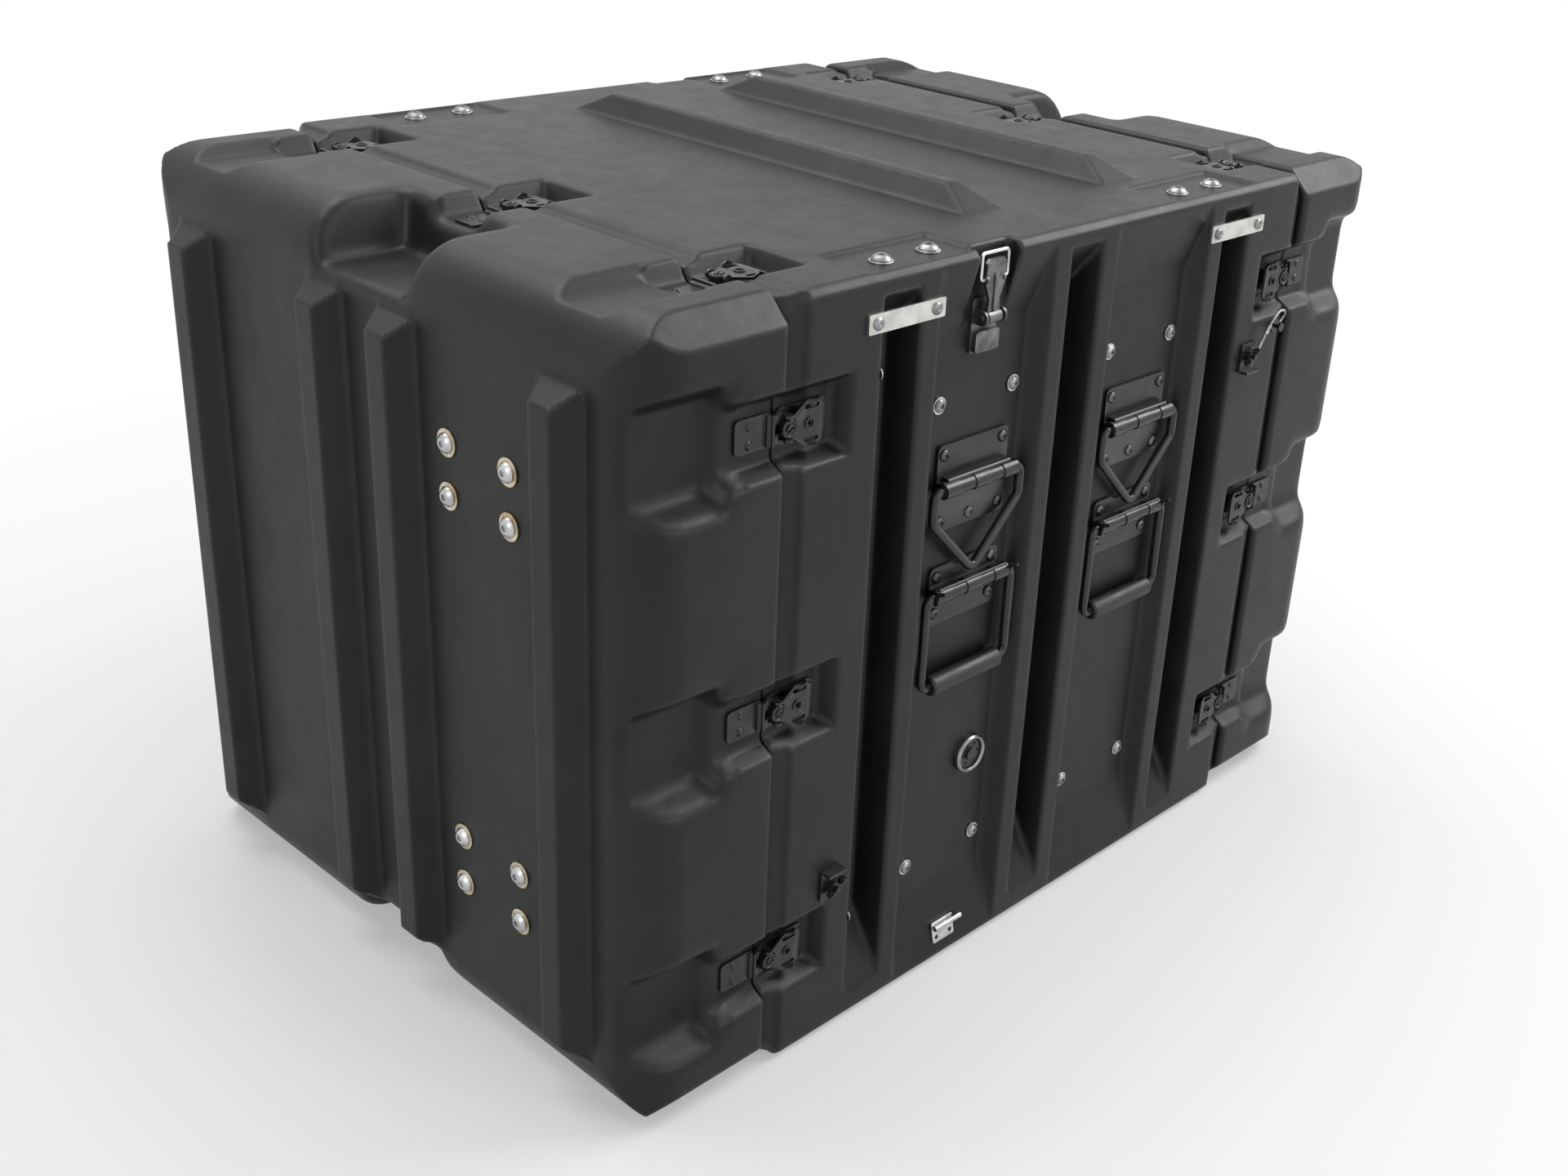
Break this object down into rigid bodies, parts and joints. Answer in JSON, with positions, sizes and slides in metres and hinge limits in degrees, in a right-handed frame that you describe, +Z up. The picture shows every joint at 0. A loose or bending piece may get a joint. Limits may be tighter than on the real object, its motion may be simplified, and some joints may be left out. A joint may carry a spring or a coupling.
{
  "type": "shock-mount rack case",
  "caption": "Black ribbed moulded transit case with lift-off end covers, twist latches, side handles and a sprung 19-inch rack frame inside.",
  "frame": {"origin": "middle of the box that bounds the whole case, on the floor it stands on", "axes": "+X along the case from the left cover to the right cover, +Y from the near handle side to the far side, +Z up"},
  "size_m": [0.967, 0.668, 0.673],
  "materials": {
    "moulded_shell": "fine-grained black rotomoulded polyethylene",
    "gasket": "matt sponge rubber",
    "black_hardware": "satin black powder coat on steel",
    "bright_bolt": "bright zinc steel",
    "yellow_washer": "yellow-passivated zinc steel",
    "bare_strip": "bare brushed aluminium",
    "grip_rubber": "matt moulded rubber",
    "toggle_steel": "dull pressed steel",
    "catch_steel": "bright pressed steel",
    "valve_chrome": "polished",
    "valve_plastic": "black moulded plastic",
    "mount_rubber": "black elastomer",
    "plated_steel": "zinc plated",
    "frame_paint": "semi-gloss black paint",
    "wire": "coated steel wire rope"
  },
  "bodies": {
    "case": {"sleeve": "moulded_shell", "latch_bases": "black_hardware", "latch_hooks": "black_hardware", "latch_studs": "black_hardware", "hidden_latch_wings": "black_hardware", "ring_plates": "black_hardware", "handle_plates": "black_hardware", "plate_screws": "black_hardware", "panel_screws": "black_hardware", "toggle_bases": "toggle_steel", "stacking_catches": "catch_steel", "mount_strips": "bare_strip", "mount_bolts": "bright_bolt", "mount_washers": "bright_bolt", "valve_ring": "valve_chrome", "valve_body": "valve_plastic", "side_brackets": "black_hardware", "lanyard": "wire", "shock_rubbers": "mount_rubber", "shock_plates": "plated_steel", "rack_frame": "frame_paint", "rack_rails": "plated_steel"},
    "wing_left_top_near": {"wing_left_top_near": "black_hardware"},
    "wing_left_top_middle": {"wing_left_top_middle": "black_hardware"},
    "wing_left_top_far": {"wing_left_top_far": "black_hardware"},
    "wing_left_side_lower": {"wing_left_side_lower": "black_hardware"},
    "wing_left_side_middle": {"wing_left_side_middle": "black_hardware"},
    "wing_left_side_upper": {"wing_left_side_upper": "black_hardware"},
    "wing_right_top_near": {"wing_right_top_near": "black_hardware"},
    "wing_right_top_middle": {"wing_right_top_middle": "black_hardware"},
    "wing_right_top_far": {"wing_right_top_far": "black_hardware"},
    "wing_right_side_lower": {"wing_right_side_lower": "black_hardware"},
    "wing_right_side_middle": {"wing_right_side_middle": "black_hardware"},
    "wing_right_side_upper": {"wing_right_side_upper": "black_hardware"},
    "ring_near_left": {"ring_near_left": "black_hardware"},
    "handle_near_left": {"handle_near_left": "black_hardware", "grip_near_left": "grip_rubber"},
    "ring_near_right": {"ring_near_right": "black_hardware"},
    "handle_near_right": {"handle_near_right": "black_hardware", "grip_near_right": "grip_rubber"},
    "toggle_lever_near": {"toggle_lever_near": "toggle_steel"},
    "toggle_wire_near": {"toggle_wire_near": "catch_steel"},
    "ring_far_left": {"ring_far_left": "black_hardware"},
    "handle_far_left": {"handle_far_left": "black_hardware", "grip_far_left": "grip_rubber"},
    "ring_far_right": {"ring_far_right": "black_hardware"},
    "handle_far_right": {"handle_far_right": "black_hardware", "grip_far_right": "grip_rubber"},
    "toggle_lever_far": {"toggle_lever_far": "toggle_steel"},
    "toggle_wire_far": {"toggle_wire_far": "catch_steel"},
    "left_cover_set": {"left_cover": "moulded_shell", "left_gasket": "gasket", "left_keepers": "black_hardware", "left_cover_bolts": "bright_bolt", "left_cover_washers": "yellow_washer"},
    "right_cover_set": {"right_cover": "moulded_shell", "right_gasket": "gasket", "right_keepers": "black_hardware", "right_cover_bolts": "bright_bolt", "right_cover_washers": "yellow_washer"}
  },
  "joints": [
    {"name": "wing_left_top_near_fold", "type": "hinge", "parent": "case", "child": "wing_left_top_near", "pos_m": [-0.324, -0.24, 0.647], "axis": [0, -1, 0], "range_deg": [0, 100]},
    {"name": "wing_left_top_middle_fold", "type": "hinge", "parent": "case", "child": "wing_left_top_middle", "pos_m": [-0.324, 0, 0.647], "axis": [0, -1, 0], "range_deg": [0, 100]},
    {"name": "wing_left_top_far_fold", "type": "hinge", "parent": "case", "child": "wing_left_top_far", "pos_m": [-0.324, 0.24, 0.647], "axis": [0, -1, 0], "range_deg": [0, 100]},
    {"name": "wing_left_side_lower_fold", "type": "hinge", "parent": "case", "child": "wing_left_side_lower", "pos_m": [-0.324, -0.315, 0.0995], "axis": [0, 0, -1], "range_deg": [0, 100]},
    {"name": "wing_left_side_middle_fold", "type": "hinge", "parent": "case", "child": "wing_left_side_middle", "pos_m": [-0.324, -0.315, 0.3275], "axis": [0, 0, -1], "range_deg": [0, 100]},
    {"name": "wing_left_side_upper_fold", "type": "hinge", "parent": "case", "child": "wing_left_side_upper", "pos_m": [-0.324, -0.315, 0.5555], "axis": [0, 0, -1], "range_deg": [0, 100]},
    {"name": "wing_right_top_near_fold", "type": "hinge", "parent": "case", "child": "wing_right_top_near", "pos_m": [0.324, -0.24, 0.647], "axis": [0, 1, 0], "range_deg": [0, 100]},
    {"name": "wing_right_top_middle_fold", "type": "hinge", "parent": "case", "child": "wing_right_top_middle", "pos_m": [0.324, 0, 0.647], "axis": [0, 1, 0], "range_deg": [0, 100]},
    {"name": "wing_right_top_far_fold", "type": "hinge", "parent": "case", "child": "wing_right_top_far", "pos_m": [0.324, 0.24, 0.647], "axis": [0, 1, 0], "range_deg": [0, 100]},
    {"name": "wing_right_side_lower_fold", "type": "hinge", "parent": "case", "child": "wing_right_side_lower", "pos_m": [0.324, -0.315, 0.0995], "axis": [0, 0, 1], "range_deg": [0, 100]},
    {"name": "wing_right_side_middle_fold", "type": "hinge", "parent": "case", "child": "wing_right_side_middle", "pos_m": [0.324, -0.315, 0.3275], "axis": [0, 0, 1], "range_deg": [0, 100]},
    {"name": "wing_right_side_upper_fold", "type": "hinge", "parent": "case", "child": "wing_right_side_upper", "pos_m": [0.324, -0.315, 0.5555], "axis": [0, 0, 1], "range_deg": [0, 100]},
    {"name": "ring_near_left_swing", "type": "hinge", "parent": "case", "child": "ring_near_left", "pos_m": [-0.1095, -0.3175, 0.4635], "axis": [-1, 0, 0], "range_deg": [0, 170]},
    {"name": "handle_near_left_swing", "type": "hinge", "parent": "case", "child": "handle_near_left", "pos_m": [-0.1095, -0.3175, 0.371], "axis": [-1, 0, 0], "range_deg": [0, 90]},
    {"name": "ring_near_right_swing", "type": "hinge", "parent": "case", "child": "ring_near_right", "pos_m": [0.1095, -0.3175, 0.4635], "axis": [-1, 0, 0], "range_deg": [0, 170]},
    {"name": "handle_near_right_swing", "type": "hinge", "parent": "case", "child": "handle_near_right", "pos_m": [0.1095, -0.3175, 0.371], "axis": [-1, 0, 0], "range_deg": [0, 90]},
    {"name": "toggle_lever_near_swing", "type": "hinge", "parent": "case", "child": "toggle_lever_near", "pos_m": [-0.1095, -0.3165, 0.598], "axis": [1, 0, 0], "range_deg": [0, 150]},
    {"name": "toggle_wire_near_swing", "type": "hinge", "parent": "toggle_lever_near", "child": "toggle_wire_near", "pos_m": [-0.1095, -0.3155, 0.628], "axis": [1, 0, 0], "range_deg": [0, 40]},
    {"name": "ring_far_left_swing", "type": "hinge", "parent": "case", "child": "ring_far_left", "pos_m": [-0.1095, 0.3175, 0.4635], "axis": [1, 0, 0], "range_deg": [0, 170]},
    {"name": "handle_far_left_swing", "type": "hinge", "parent": "case", "child": "handle_far_left", "pos_m": [-0.1095, 0.3175, 0.371], "axis": [1, 0, 0], "range_deg": [0, 90]},
    {"name": "ring_far_right_swing", "type": "hinge", "parent": "case", "child": "ring_far_right", "pos_m": [0.1095, 0.3175, 0.4635], "axis": [1, 0, 0], "range_deg": [0, 170]},
    {"name": "handle_far_right_swing", "type": "hinge", "parent": "case", "child": "handle_far_right", "pos_m": [0.1095, 0.3175, 0.371], "axis": [1, 0, 0], "range_deg": [0, 90]},
    {"name": "toggle_lever_far_swing", "type": "hinge", "parent": "case", "child": "toggle_lever_far", "pos_m": [0.1095, 0.3165, 0.598], "axis": [-1, 0, 0], "range_deg": [0, 150]},
    {"name": "toggle_wire_far_swing", "type": "hinge", "parent": "toggle_lever_far", "child": "toggle_wire_far", "pos_m": [0.1095, 0.3155, 0.628], "axis": [-1, 0, 0], "range_deg": [0, 40]},
    {"name": "left_cover_pull", "type": "slide", "parent": "case", "child": "left_cover_set", "axis": [-1, 0, 0], "range_m": [0, 0.25]},
    {"name": "right_cover_pull", "type": "slide", "parent": "case", "child": "right_cover_set", "axis": [1, 0, 0], "range_m": [0, 0.25]}
  ]
}
